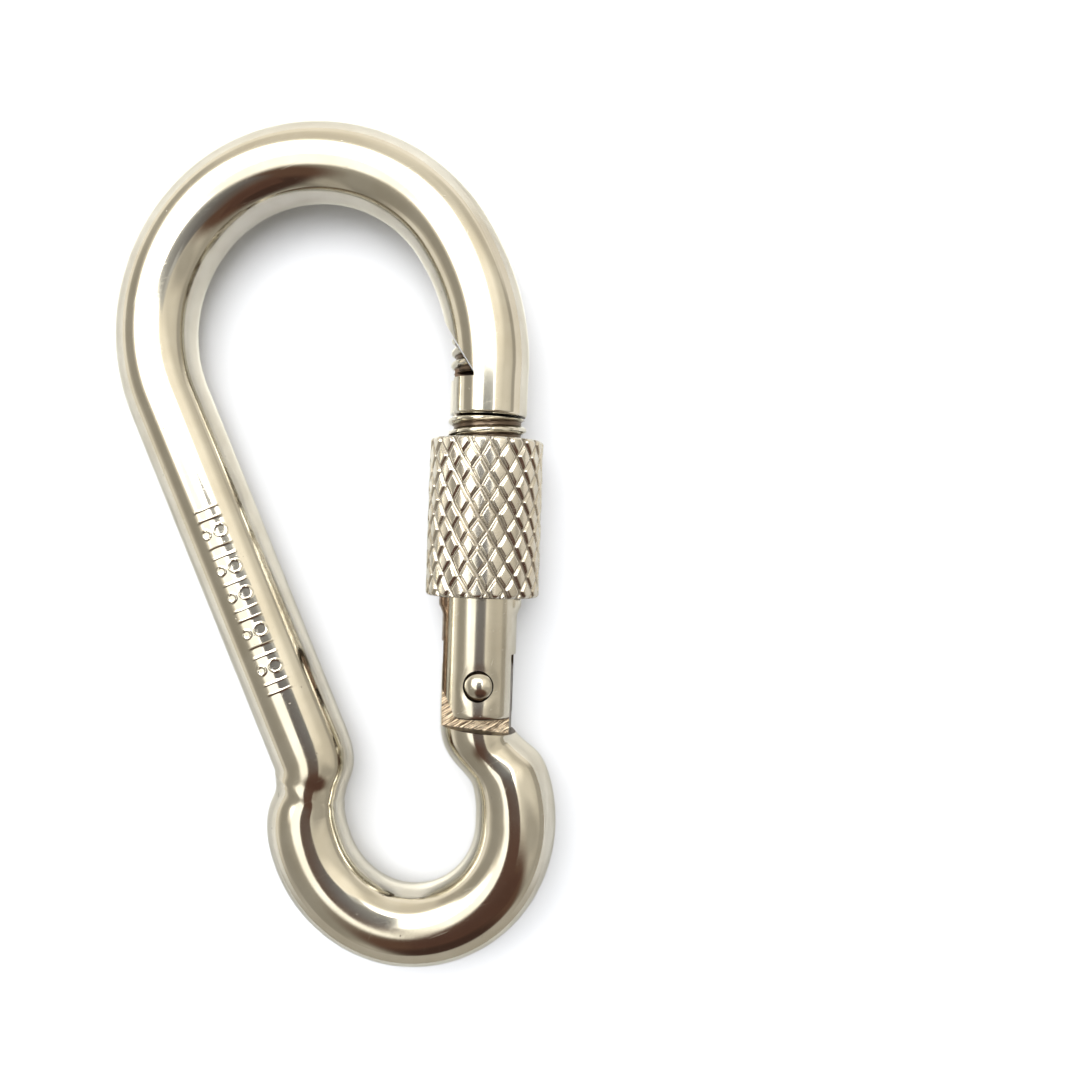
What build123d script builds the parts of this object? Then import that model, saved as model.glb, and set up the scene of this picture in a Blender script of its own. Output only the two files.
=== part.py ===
from build123d import *
import os
from math import sin, cos, tan, radians, degrees, pi

# ----------------------------------------------------------------------------
# Screw-lock snap hook bent from 8 mm round bar.
# Frame: the ring lies in the XY plane (z = 0 is its middle plane). +Y runs along
# the gate's axis from the hinge to the nose, +X from the spine to the gate, and
# +Z out of the marked face. The origin is the centre of the bounding box.
# All sizes in mm.
# ----------------------------------------------------------------------------

# round bar and the gate's axis
rod_r = 4.0
axis_x = 14.93            # gate, sleeve, collar and hinge share this axis
collar_lo = 12.90         # lower face of the nose collar
collar_hi = 16.45         # floor of the nose notch

# bend schedule, from the nose anticlockwise round the ring: (radius, degrees)
nose_run = 4.40           # straight run up to the first bend
crown_bends = [(24.2, 35.06), (16.0, 104.67), (17.75, 64.56)]
waist_out = (4.40, 46.77)     # reverse bend at the foot of the spine
eye_bends = [(6.0, 24.90), (11.36, 58.49), (10.20, 92.58), (11.12, 49.75), (6.0, 26.53)]
waist_in = (4.40, 49.76)      # reverse bend under the hinge
spine_drop = 34.79            # how far the spine comes down

# nose notch and its slot
notch_x = -1.10           # depth of the notch, from the gate axis
notch_step = 0.45         # upright bit at the notch's inner corner
notch_run = (-3.30, 5.00)  # direction of the diagonal face
slot_half = 2.10          # half width of the collar's slot
slot_x = 0.0

# hinge end
pivot_x = axis_x + 0.25    # the rivet sits a little off the gate axis
pivot_y = -13.45
shoulder_y = -18.05
shoulder_slope = -0.09
tongue_half = 1.50
tongue_left = -3.79
tongue_right = 3.50
tongue_top = 3.00         # flat of the tongue above the pivot
cam_r = 1.10              # base circle of the tongue's cam
open_deg = 34.0
rivet_r = 1.40
rivet_hole_r = 1.48
rivet_edge_z = 3.45
rivet_top_z = 3.95

# gate
gate_r = 3.67
gate_bottom = -16.85
flare_r = 4.05
flare_lo = -5.90
flare_hi = -5.05
taper_lo = -6.95
crest_r = 3.92
root_r = 3.33
pitch = 1.25
gap = 0.35                # play under and over the collar
neck_half = 1.90
neck_left = -3.55
neck_right = -0.15
head_top = 22.0
clevis_half = 1.60
clevis_top = 4.00         # roof of the clevis slot above the pivot
bore_r = 1.60
bore_top = 4.00

# spring plunger and spring
plunger_r = 1.50
plunger_len = 5.00
spigot_r = 0.75
spigot_len = 1.50
wire_r = 0.22
coil_r = 1.24
coil_turns = 8

# lock sleeve
sleeve_r = 5.65
sleeve_lo = -4.98
sleeve_hi = 10.55
sleeve_thread_r = 4.00
sleeve_thread_len = 6.50
sleeve_bore_r = 4.30

os.makedirs("parts", exist_ok=True)


# ----------------------------------------------------------------------------
# centreline of the bar: straight runs joined by tangent arcs
# ----------------------------------------------------------------------------
def bend(state, radius, angle, left=True):
    """One tangent arc: returns its start, middle and end, and the new state."""
    x, y, h = state
    s = 1 if left else -1
    a = radians(angle)
    cx, cy = x - s * radius * sin(h), y + s * radius * cos(h)
    at = lambda t: (cx + s * radius * sin(h + s * t), cy - s * radius * cos(h + s * t))
    return (x, y), at(a / 2), at(a), (*at(a), h + s * a)


def run(state, length):
    x, y, h = state
    end = (x + length * cos(h), y + length * sin(h))
    return (x, y), end, (*end, h)


def centreline(spine_len):
    pieces = []
    state = (axis_x, collar_lo, pi / 2)
    a, b, state = run(state, nose_run)
    pieces.append((a, b))
    for r, d in crown_bends:
        a, m, b, state = bend(state, r, d)
        pieces.append((a, m, b))
    a, b, state = run(state, spine_len)
    pieces.append((a, b))
    a, m, b, state = bend(state, *waist_out, left=False)
    pieces.append((a, m, b))
    for r, d in eye_bends:
        a, m, b, state = bend(state, r, d)
        pieces.append((a, m, b))
    # the last bend brings the bar back parallel to the gate axis
    turn = degrees(state[2]) - 450.0
    a, m, b, state = bend(state, waist_in[0], turn, left=False)
    pieces.append((a, m, b))
    return pieces, state


# the spine's length closes the ring: the hinge end comes back onto the gate axis
guess = spine_drop / cos(radians(24.29))
_, s0 = centreline(guess)
_, s1 = centreline(guess + 1.0)
spine_len = guess + (axis_x - s0[0]) / (s1[0] - s0[0])
pieces, state = centreline(spine_len)
tongue_tip_y = pivot_y + tongue_top + 0.3
a, b, state = run(state, tongue_tip_y - state[1])
pieces.append((a, b))
print("spine length", round(spine_len, 3), "hinge end", [round(v, 3) for v in state[:2]])

# ----------------------------------------------------------------------------
# hook body: bent bar with the nose notch, the collar slot and the hinge tongue
# ----------------------------------------------------------------------------
nose_plane = Plane(origin=(axis_x, collar_lo, 0), x_dir=(1, 0, 0), z_dir=(0, 1, 0))

# cam of the tongue: an involute, so that the plunger lifts evenly
def cam(deg):
    t = radians(deg)
    h = tongue_top + cam_r * t
    return (pivot_x - cam_r * cos(t) - h * sin(t), pivot_y - cam_r * sin(t) + h * cos(t))


with BuildPart() as hook_body:
    with BuildLine() as path:
        for p in pieces:
            if len(p) == 2:
                Line(p[0], p[1])
            else:
                ThreePointArc(*p)
    with BuildSketch(nose_plane):
        Circle(rod_r)
    sweep(path=path.wire())

    # nose notch: flat floor on the collar and a diagonal face above it
    nx, ny = axis_x + notch_x, collar_hi + notch_step
    k = 2.2
    with BuildSketch(Plane.XY.offset(-5)):
        with BuildLine():
            Polyline(
                (nx, collar_hi),
                (nx, ny),
                (nx + notch_run[0] * k, ny + notch_run[1] * k),
                (nx + notch_run[0] * k - 1, collar_hi),
                close=True,
            )
        make_face()
    extrude(amount=10, mode=Mode.SUBTRACT)

    # slot through the collar, open towards the spine
    with BuildSketch(Plane.XY.offset(-slot_half)):
        with BuildLine():
            Polyline(
                (axis_x + slot_x, collar_lo - 1),
                (axis_x + slot_x, collar_hi),
                (axis_x - 6, collar_hi),
                (axis_x - 6, collar_lo - 1),
                close=True,
            )
        make_face()
    extrude(amount=2 * slot_half, mode=Mode.SUBTRACT)

    # cheeks of the hinge end cut away down to the sloping shoulder
    for z0 in (tongue_half, -tongue_half - 4):
        with BuildSketch(Plane.XY.offset(z0)):
            with BuildLine():
                Polyline(
                    (axis_x - 5, shoulder_y - 5 * shoulder_slope),
                    (axis_x + 5, shoulder_y + 5 * shoulder_slope),
                    (axis_x + 5, pivot_y + 5),
                    (axis_x - 5, pivot_y + 5),
                    close=True,
                )
            make_face()
        extrude(amount=4, mode=Mode.SUBTRACT)

    # outline of the tongue: straight flanks, flat top and the cam at its inner corner
    c0, c1, c2 = cam(0), cam(open_deg / 2), cam(open_deg)
    t = radians(open_deg)
    c3 = (c2[0] - 0.45 * cos(t), c2[1] - 0.45 * sin(t))
    flank = axis_x + tongue_left
    with BuildSketch(Plane.XY.offset(-tongue_half - 0.5)):
        with BuildLine():
            Line((flank, shoulder_y + 0.5), (flank, c3[1] - 0.6))
            Line((flank, c3[1] - 0.6), c3)
            Line(c3, c2)
            ThreePointArc(c2, c1, c0)
            Line(c0, (axis_x + 2.6, pivot_y + tongue_top))
            ThreePointArc(
                (axis_x + 2.6, pivot_y + tongue_top),
                (axis_x + 3.236, pivot_y + tongue_top - 0.264),
                (axis_x + tongue_right, pivot_y + tongue_top - 0.9),
            )
            Line(
                (axis_x + tongue_right, pivot_y + tongue_top - 0.9),
                (axis_x + tongue_right, shoulder_y + 0.5),
            )
            Line((axis_x + tongue_right, shoulder_y + 0.5), (axis_x + 6, shoulder_y + 0.5))
            Line((axis_x + 6, shoulder_y + 0.5), (axis_x + 6, pivot_y + 6))
            Line((axis_x + 6, pivot_y + 6), (axis_x - 6, pivot_y + 6))
            Line((axis_x - 6, pivot_y + 6), (axis_x - 6, shoulder_y + 0.5))
            Line((axis_x - 6, shoulder_y + 0.5), (flank, shoulder_y + 0.5))
        make_face()
    extrude(amount=2 * tongue_half + 1, mode=Mode.SUBTRACT)

    # rivet hole
    with BuildSketch(Plane.XY.offset(-tongue_half - 1)):
        with Locations((pivot_x, pivot_y)):
            Circle(rivet_r)
    extrude(amount=2 * tongue_half + 2, mode=Mode.SUBTRACT)
hook_body.part.label = "hook_body"
export_step(hook_body.part, "parts/hook_body.step")

# ----------------------------------------------------------------------------
# hinge rivet: shank pressed in the tongue, domed ends in the gate's cheeks
# ----------------------------------------------------------------------------
dome = rivet_top_z - rivet_edge_z
dome_r = (rivet_r**2 + dome**2) / (2 * dome)
dome_x = rivet_r / 2
dome_z = rivet_top_z - dome_r + (dome_r**2 - dome_x**2) ** 0.5
rivet_plane = Plane(origin=(pivot_x, pivot_y, 0), x_dir=(1, 0, 0), z_dir=(0, -1, 0))
with BuildPart() as hinge_rivet:
    with BuildSketch(rivet_plane):
        with BuildLine():
            Line((0, -rivet_top_z), (0, rivet_top_z))
            ThreePointArc((0, rivet_top_z), (dome_x, dome_z), (rivet_r, rivet_edge_z))
            Line((rivet_r, rivet_edge_z), (rivet_r, -rivet_edge_z))
            ThreePointArc((rivet_r, -rivet_edge_z), (dome_x, -dome_z), (0, -rivet_top_z))
        make_face()
    revolve(axis=Axis((pivot_x, pivot_y, 0), (0, 0, 1)))
hinge_rivet.part.label = "hinge_rivet"
export_step(hinge_rivet.part, "parts/hinge_rivet.step")

# ----------------------------------------------------------------------------
# gate: turned bar with the screw thread, a flat neck and a threaded head above,
# and a clevis below
# ----------------------------------------------------------------------------
gate_axis = Axis((axis_x, 0, 0), (0, 1, 0))


def thread_points(lo, hi, crest, root):
    """Zigzag of the thread's section, from the lower end to the upper one."""
    pts = [(axis_x + root, lo)]
    y = lo + 0.15
    while y + pitch < hi:
        pts += [
            (axis_x + crest, y + 0.45),
            (axis_x + crest, y + 0.60),
            (axis_x + root, y + 1.05),
        ]
        if y + 2 * pitch < hi:
            pts.append((axis_x + root, y + pitch))
        y += pitch
    pts.append((axis_x + root, hi))
    return pts


with BuildPart() as gate:
    # barrel
    with BuildSketch(Plane.XY):
        with BuildLine():
            Polyline(
                (axis_x, gate_bottom),
                (axis_x + gate_r - 0.35, gate_bottom),
                (axis_x + gate_r, gate_bottom + 0.35),
                (axis_x + gate_r, taper_lo),
                (axis_x + flare_r, flare_lo),
                (axis_x + flare_r, flare_hi),
                *thread_points(flare_hi, collar_lo - gap, crest_r, root_r),
                (axis_x, collar_lo - gap),
                close=True,
            )
        make_face()
    revolve(axis=gate_axis)

    # threaded head above the neck
    with BuildSketch(Plane.XY):
        with BuildLine():
            Polyline(
                (axis_x, collar_hi + gap),
                *thread_points(collar_hi + gap, head_top, crest_r - 0.1, root_r),
                (axis_x, head_top),
                close=True,
            )
        make_face()
    revolve(axis=gate_axis)

    # neck between the thread and the head
    with BuildSketch(Plane.XY.offset(-neck_half)):
        with BuildLine():
            Polyline(
                (axis_x + neck_left + 0.35, collar_lo - gap - 0.5),
                (axis_x + neck_right, collar_lo - gap - 0.5),
                (axis_x + neck_right, collar_hi - 0.25),
                (axis_x + notch_x - 0.20, collar_hi - 0.25),
                (axis_x + notch_x - 0.20, collar_hi + gap + 0.5),
                (axis_x + neck_left + 0.35, collar_hi + gap + 0.5),
                close=True,
            )
        make_face()
    extrude(amount=2 * neck_half)

    # diagonal face of the head, parallel to the notch's
    hx, hy = axis_x + notch_x - 0.20, collar_hi + notch_step
    with BuildSketch(Plane.XY.offset(-5)):
        with BuildLine():
            Polyline(
                (hx, collar_hi + gap - 0.2),
                (hx, hy),
                (hx + notch_run[0] * 2, hy + notch_run[1] * 2),
                (axis_x + 6, hy + notch_run[1] * 2),
                (axis_x + 6, collar_hi + gap - 0.2),
                close=True,
            )
        make_face()
    extrude(amount=10, mode=Mode.SUBTRACT)

    # clevis slot for the tongue, right through the gate
    with BuildSketch(Plane.XY.offset(-clevis_half)):
        with BuildLine():
            Polyline(
                (axis_x - 6, gate_bottom - 1),
                (axis_x + 6, gate_bottom - 1),
                (axis_x + 6, pivot_y + clevis_top),
                (axis_x - 6, pivot_y + clevis_top),
                close=True,
            )
        make_face()
    extrude(amount=2 * clevis_half, mode=Mode.SUBTRACT)

    # inner lower corner of the cheeks, rounded off so that the gate can swing
    with BuildSketch(Plane.XY.offset(-5)):
        with BuildLine():
            ThreePointArc(
                (axis_x - 3.80, -13.86),
                (axis_x - 2.75, -15.25),
                (axis_x - 1.95, -16.90),
            )
            Line((axis_x - 1.95, -16.90), (axis_x - 1.95, -18.5))
            Line((axis_x - 1.95, -18.5), (axis_x - 6, -18.5))
            Line((axis_x - 6, -18.5), (axis_x - 6, -13.86))
            Line((axis_x - 6, -13.86), (axis_x - 3.80, -13.86))
        make_face()
    extrude(amount=10, mode=Mode.SUBTRACT)

    # rivet holes in both cheeks
    with BuildSketch(Plane.XY.offset(-5)):
        with Locations((pivot_x, pivot_y)):
            Circle(rivet_hole_r)
    extrude(amount=10, mode=Mode.SUBTRACT)

    # blind bore for the plunger and its spring
    with BuildSketch(Plane(origin=(axis_x, pivot_y + clevis_top - 0.5, 0), x_dir=(1, 0, 0), z_dir=(0, 1, 0))):
        Circle(bore_r)
    extrude(amount=bore_top - (pivot_y + clevis_top - 0.5), mode=Mode.SUBTRACT)
gate.part.label = "gate"
export_step(gate.part, "parts/gate.step")

# ----------------------------------------------------------------------------
# spring plunger: pin that presses on the tongue's cam
# ----------------------------------------------------------------------------
plunger_lo = pivot_y + tongue_top + 0.02
plunger_hi = plunger_lo + plunger_len
with BuildPart() as spring_plunger:
    with BuildSketch(Plane.XY):
        with BuildLine():
            Polyline(
                (axis_x, plunger_lo),
                (axis_x + plunger_r - 0.2, plunger_lo),
                (axis_x + plunger_r, plunger_lo + 0.2),
                (axis_x + plunger_r, plunger_hi),
                (axis_x + spigot_r, plunger_hi),
                (axis_x + spigot_r, plunger_hi + spigot_len - 0.2),
                (axis_x + spigot_r - 0.2, plunger_hi + spigot_len),
                (axis_x, plunger_hi + spigot_len),
                close=True,
            )
        make_face()
    revolve(axis=gate_axis)
spring_plunger.part.label = "spring_plunger"
export_step(spring_plunger.part, "parts/spring_plunger.step")

# ----------------------------------------------------------------------------
# return spring: compression coil between the plunger and the end of the bore
# ----------------------------------------------------------------------------
coil_lo = plunger_hi + wire_r + 0.02
coil_hi = bore_top - wire_r - 0.02
with BuildPart() as return_spring:
    with BuildLine() as coil:
        Helix(
            pitch=(coil_hi - coil_lo) / coil_turns,
            height=coil_hi - coil_lo,
            radius=coil_r,
            center=(axis_x, coil_lo, 0),
            direction=(0, 1, 0),
        )
    with BuildSketch(Plane(origin=coil.edges()[0] @ 0, z_dir=coil.edges()[0] % 0)):
        Circle(wire_r)
    sweep(path=coil.wire(), is_frenet=True)
return_spring.part.label = "return_spring"
export_step(return_spring.part, "parts/return_spring.step")

# ----------------------------------------------------------------------------
# lock sleeve: nut that screws up over the collar to lock the gate
# ----------------------------------------------------------------------------
with BuildPart() as lock_sleeve:
    with BuildSketch(Plane.XY):
        with BuildLine():
            Polyline(
                (axis_x + sleeve_thread_r + 0.25, sleeve_lo),
                (axis_x + sleeve_r - 0.30, sleeve_lo),
                (axis_x + sleeve_r, sleeve_lo + 0.30),
                (axis_x + sleeve_r, sleeve_hi - 0.30),
                (axis_x + sleeve_r - 0.30, sleeve_hi),
                (axis_x + sleeve_bore_r + 0.15, sleeve_hi),
                (axis_x + sleeve_bore_r, sleeve_hi - 0.15),
                (axis_x + sleeve_bore_r, sleeve_lo + sleeve_thread_len),
                (axis_x + sleeve_thread_r, sleeve_lo + sleeve_thread_len - 0.30),
                (axis_x + sleeve_thread_r, sleeve_lo + 0.25),
                close=True,
            )
        make_face()
    revolve(axis=gate_axis)
lock_sleeve.part.label = "lock_sleeve"
export_step(lock_sleeve.part, "parts/lock_sleeve.step")

# ----------------------------------------------------------------------------
# sizes
# ----------------------------------------------------------------------------
for p in (hook_body, gate, lock_sleeve, hinge_rivet, spring_plunger, return_spring):
    bb = p.part.bounding_box()
    print(
        p.part.label,
        "solids", len(p.part.solids()),
        "volume", round(p.part.volume, 2),
        "min", tuple(round(v, 3) for v in bb.min),
        "max", tuple(round(v, 3) for v in bb.max),
    )
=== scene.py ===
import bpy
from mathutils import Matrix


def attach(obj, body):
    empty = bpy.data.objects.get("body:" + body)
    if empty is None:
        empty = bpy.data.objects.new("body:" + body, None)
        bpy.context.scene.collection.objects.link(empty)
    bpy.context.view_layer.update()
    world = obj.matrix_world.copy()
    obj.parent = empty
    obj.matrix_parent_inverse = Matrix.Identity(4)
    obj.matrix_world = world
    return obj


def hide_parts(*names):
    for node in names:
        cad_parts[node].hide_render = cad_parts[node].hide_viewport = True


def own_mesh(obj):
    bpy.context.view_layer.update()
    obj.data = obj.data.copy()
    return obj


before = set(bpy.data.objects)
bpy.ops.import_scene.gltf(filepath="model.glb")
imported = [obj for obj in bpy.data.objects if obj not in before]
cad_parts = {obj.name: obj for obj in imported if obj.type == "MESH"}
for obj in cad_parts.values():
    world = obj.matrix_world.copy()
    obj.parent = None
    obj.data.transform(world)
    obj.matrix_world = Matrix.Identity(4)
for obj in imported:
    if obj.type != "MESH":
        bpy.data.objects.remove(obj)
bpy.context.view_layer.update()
import math
from math import cos, pi, radians, sin

import bpy
import numpy as np
from mathutils import Matrix, Vector

MM = 0.001

# ----------------------------------------------------------------------------
# sizes, mm, in the row frame: the same numbers as the solid model
# ----------------------------------------------------------------------------
ROD = 4.0
AX = 14.93
COLLAR_LO, COLLAR_HI = 12.90, 16.45
PIVOT = (15.18, -13.45)
RIVET = (15.18, -13.57)  # the hole was drilled a hair low
CROWN = [(24.2, 35.06), (16.0, 104.67), (17.75, 64.56)]
SPINE = 38.27
WAIST_OUT = (4.40, 46.77)
EYE = [(6.0, 24.90), (11.36, 58.49), (10.20, 92.58), (11.12, 49.75), (6.0, 26.53)]
WAIST_IN = 4.40
HINGE_TOP = -10.15


# ----------------------------------------------------------------------------
# mesh helpers
# ----------------------------------------------------------------------------
def smooth(e0, e1, x):
    t = np.clip((np.asarray(x, float) - e0) / (e1 - e0), 0.0, 1.0)
    return t * t * (3 - 2 * t)


def new_object(name, verts, faces, mats, smooth_angle=35.0, uv=None):
    me = bpy.data.meshes.new(name)
    me.from_pydata([tuple(v) for v in np.asarray(verts, float) * MM], [], faces)
    me.validate()
    if uv is not None:
        layer = me.uv_layers.new(name="along")
        flat = np.zeros(len(me.loops), dtype=np.int32)
        me.loops.foreach_get("vertex_index", flat)
        layer.data.foreach_set("uv", np.asarray(uv, np.float32)[flat].ravel())
    ob = bpy.data.objects.new(name, me)
    bpy.context.scene.collection.objects.link(ob)
    for m in mats:
        me.materials.append(m)
    shade(ob, smooth_angle)
    return ob


def shade(ob, angle):
    me = ob.data
    me.polygons.foreach_set("use_smooth", [True] * len(me.polygons))
    if angle is not None:
        me.set_sharp_from_angle(angle=radians(angle))


def grid(P, wrap_u=False, wrap_v=True, cap=True, flip=False):
    """Faces of a grid of points P[u][v]; open ends along u are closed with one polygon each."""
    nu, nv = P.shape[:2]
    verts = P.reshape(-1, 3)
    faces = []
    for i in range(nu if wrap_u else nu - 1):
        a, b = i * nv, ((i + 1) % nu) * nv
        for j in range(nv if wrap_v else nv - 1):
            k = (j + 1) % nv
            q = (a + j, a + k, b + k, b + j)
            faces.append(q[::-1] if flip else q)
    if cap and not wrap_u:
        lo, hi = list(range(nv)), [(nu - 1) * nv + j for j in range(nv)]
        faces.append(tuple(lo if flip else lo[::-1]))
        faces.append(tuple(hi[::-1] if flip else hi))
    return verts, faces


def prism(name, outline, z0, z1, mats):
    """Closed prism of an outline in the XY plane, from z0 to z1."""
    n = len(outline)
    area = sum(
        outline[i][0] * outline[(i + 1) % n][1] - outline[(i + 1) % n][0] * outline[i][1]
        for i in range(n)
    )
    pts = outline if area > 0 else outline[::-1]
    v = [(x, y, z0) for x, y in pts] + [(x, y, z1) for x, y in pts]
    f = [tuple(range(n))[::-1], tuple(range(n, 2 * n))]
    f += [(i, (i + 1) % n, n + (i + 1) % n, n + i) for i in range(n)]
    return new_object(name, v, f, mats, None)


def pin(name, centre, r, z0, z1, mats, n=72, flare=None):
    """Closed round cutter along Z; flare widens both ends a little."""
    rows = [(r, z0), (r, z1)]
    if flare:
        w, d, zs = flare
        rows = [(r + w, z0), (r + w, -zs - d), (r, -zs + d), (r, zs - d), (r + w, zs + d), (r + w, z1)]
    P = np.array(
        [
            [(centre[0] + q * cos(2 * pi * i / n), centre[1] + q * sin(2 * pi * i / n), z) for i in range(n)]
            for q, z in rows
        ]
    )
    v, f = grid(P)
    return new_object(name, v, f, mats, None)


def carve(ob, tool, op="DIFFERENCE"):
    m = ob.modifiers.new("cut", "BOOLEAN")
    m.operation = op
    m.solver = "EXACT"
    m.object = tool
    m.material_mode = "TRANSFER"
    dg = bpy.context.evaluated_depsgraph_get()
    me = bpy.data.meshes.new_from_object(ob.evaluated_get(dg), preserve_all_data_layers=True, depsgraph=dg)
    ob.modifiers.clear()
    old = ob.data
    ob.data = me
    bpy.data.meshes.remove(old)
    bpy.data.objects.remove(tool, do_unlink=True)


def tidy(ob, angle=35.0):
    """Merges doubled points, drops anything loose, and marks the sharp edges."""
    import bmesh

    bm = bmesh.new()
    bm.from_mesh(ob.data)
    bmesh.ops.remove_doubles(bm, verts=bm.verts, dist=2e-7)
    bmesh.ops.dissolve_degenerate(bm, dist=1e-7, edges=bm.edges)
    loose = [v for v in bm.verts if not v.link_faces]
    bmesh.ops.delete(bm, geom=loose, context="VERTS")
    bm.to_mesh(ob.data)
    bm.free()
    shade(ob, angle)


def lathe_y(profile, cols, radius_of=None, axis=AX):
    """Points of a turned surface about the vertical axis; profile is a list of (y, r)."""
    prof = np.asarray(profile, float)
    th = np.arange(cols) * 2 * pi / cols
    y = np.repeat(prof[:, :1], cols, axis=1)
    r = np.repeat(prof[:, 1:2], cols, axis=1)
    if radius_of is not None:
        r = radius_of(th[None, :] + 0 * y, y, r)
    return np.stack([axis + r * np.sin(th), y, r * np.cos(th)], axis=-1)


# ----------------------------------------------------------------------------
# materials
# ----------------------------------------------------------------------------
class Nodes:
    """Small helper that writes shader maths as calls."""

    def __init__(self, tree):
        self.t = tree
        self.n = tree.nodes
        self.n.clear()

    def add(self, kind, **props):
        node = self.n.new(kind)
        for k, v in props.items():
            setattr(node, k, v)
        return node

    def put(self, socket, value):
        if isinstance(value, bpy.types.NodeSocket):
            self.t.links.new(value, socket)
        else:
            socket.default_value = value

    def math(self, op, a, b=None, c=None, clamp=False):
        node = self.add("ShaderNodeMath", operation=op, use_clamp=clamp)
        for i, v in enumerate((a, b, c)):
            if v is not None:
                self.put(node.inputs[i], v)
        return node.outputs[0]

    def vec(self, op, a, b=None, scale=None):
        node = self.add("ShaderNodeVectorMath", operation=op)
        self.put(node.inputs[0], a)
        if b is not None:
            self.put(node.inputs[1], b)
        if scale is not None:
            self.put(node.inputs["Scale"], scale)
        return node.outputs["Value"] if op in ("DOT_PRODUCT", "LENGTH") else node.outputs["Vector"]

    def mix(self, f, a, b):
        node = self.add("ShaderNodeMix", data_type="RGBA", clamp_factor=True)
        self.put(node.inputs[0], f)
        self.put(node.inputs[6], a)
        self.put(node.inputs[7], b)
        return node.outputs[2]

    def span(self, v, lo, hi, out_lo=0.0, out_hi=1.0, soft=True):
        node = self.add("ShaderNodeMapRange", interpolation_type="SMOOTHSTEP" if soft else "LINEAR")
        for i, x in enumerate((v, lo, hi, out_lo, out_hi)):
            self.put(node.inputs[i], x)
        return node.outputs[0]

    def noise(self, vec, scale, detail=2.0, rough=0.5, distort=0.0):
        node = self.add("ShaderNodeTexNoise", noise_dimensions="3D")
        self.put(node.inputs["Vector"], vec)
        node.inputs["Scale"].default_value = scale
        node.inputs["Detail"].default_value = detail
        node.inputs["Roughness"].default_value = rough
        node.inputs["Distortion"].default_value = distort
        return node.outputs["Fac"]

    def stretch(self, vec, scale=(1, 1, 1), rot=(0, 0, 0), loc=(0, 0, 0)):
        node = self.add("ShaderNodeMapping", vector_type="TEXTURE")  # turns first, then stretches
        self.put(node.inputs["Vector"], vec)
        node.inputs["Scale"].default_value = tuple(1.0 / q for q in scale)
        node.inputs["Rotation"].default_value = rot
        node.inputs["Location"].default_value = loc
        return node.outputs["Vector"]

    def bump(self, height, distance, normal=None, strength=1.0):
        node = self.add("ShaderNodeBump")
        node.inputs["Strength"].default_value = strength
        node.inputs["Distance"].default_value = distance
        self.put(node.inputs["Height"], height)
        if normal is not None:
            self.put(node.inputs["Normal"], normal)
        return node.outputs["Normal"]


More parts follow.
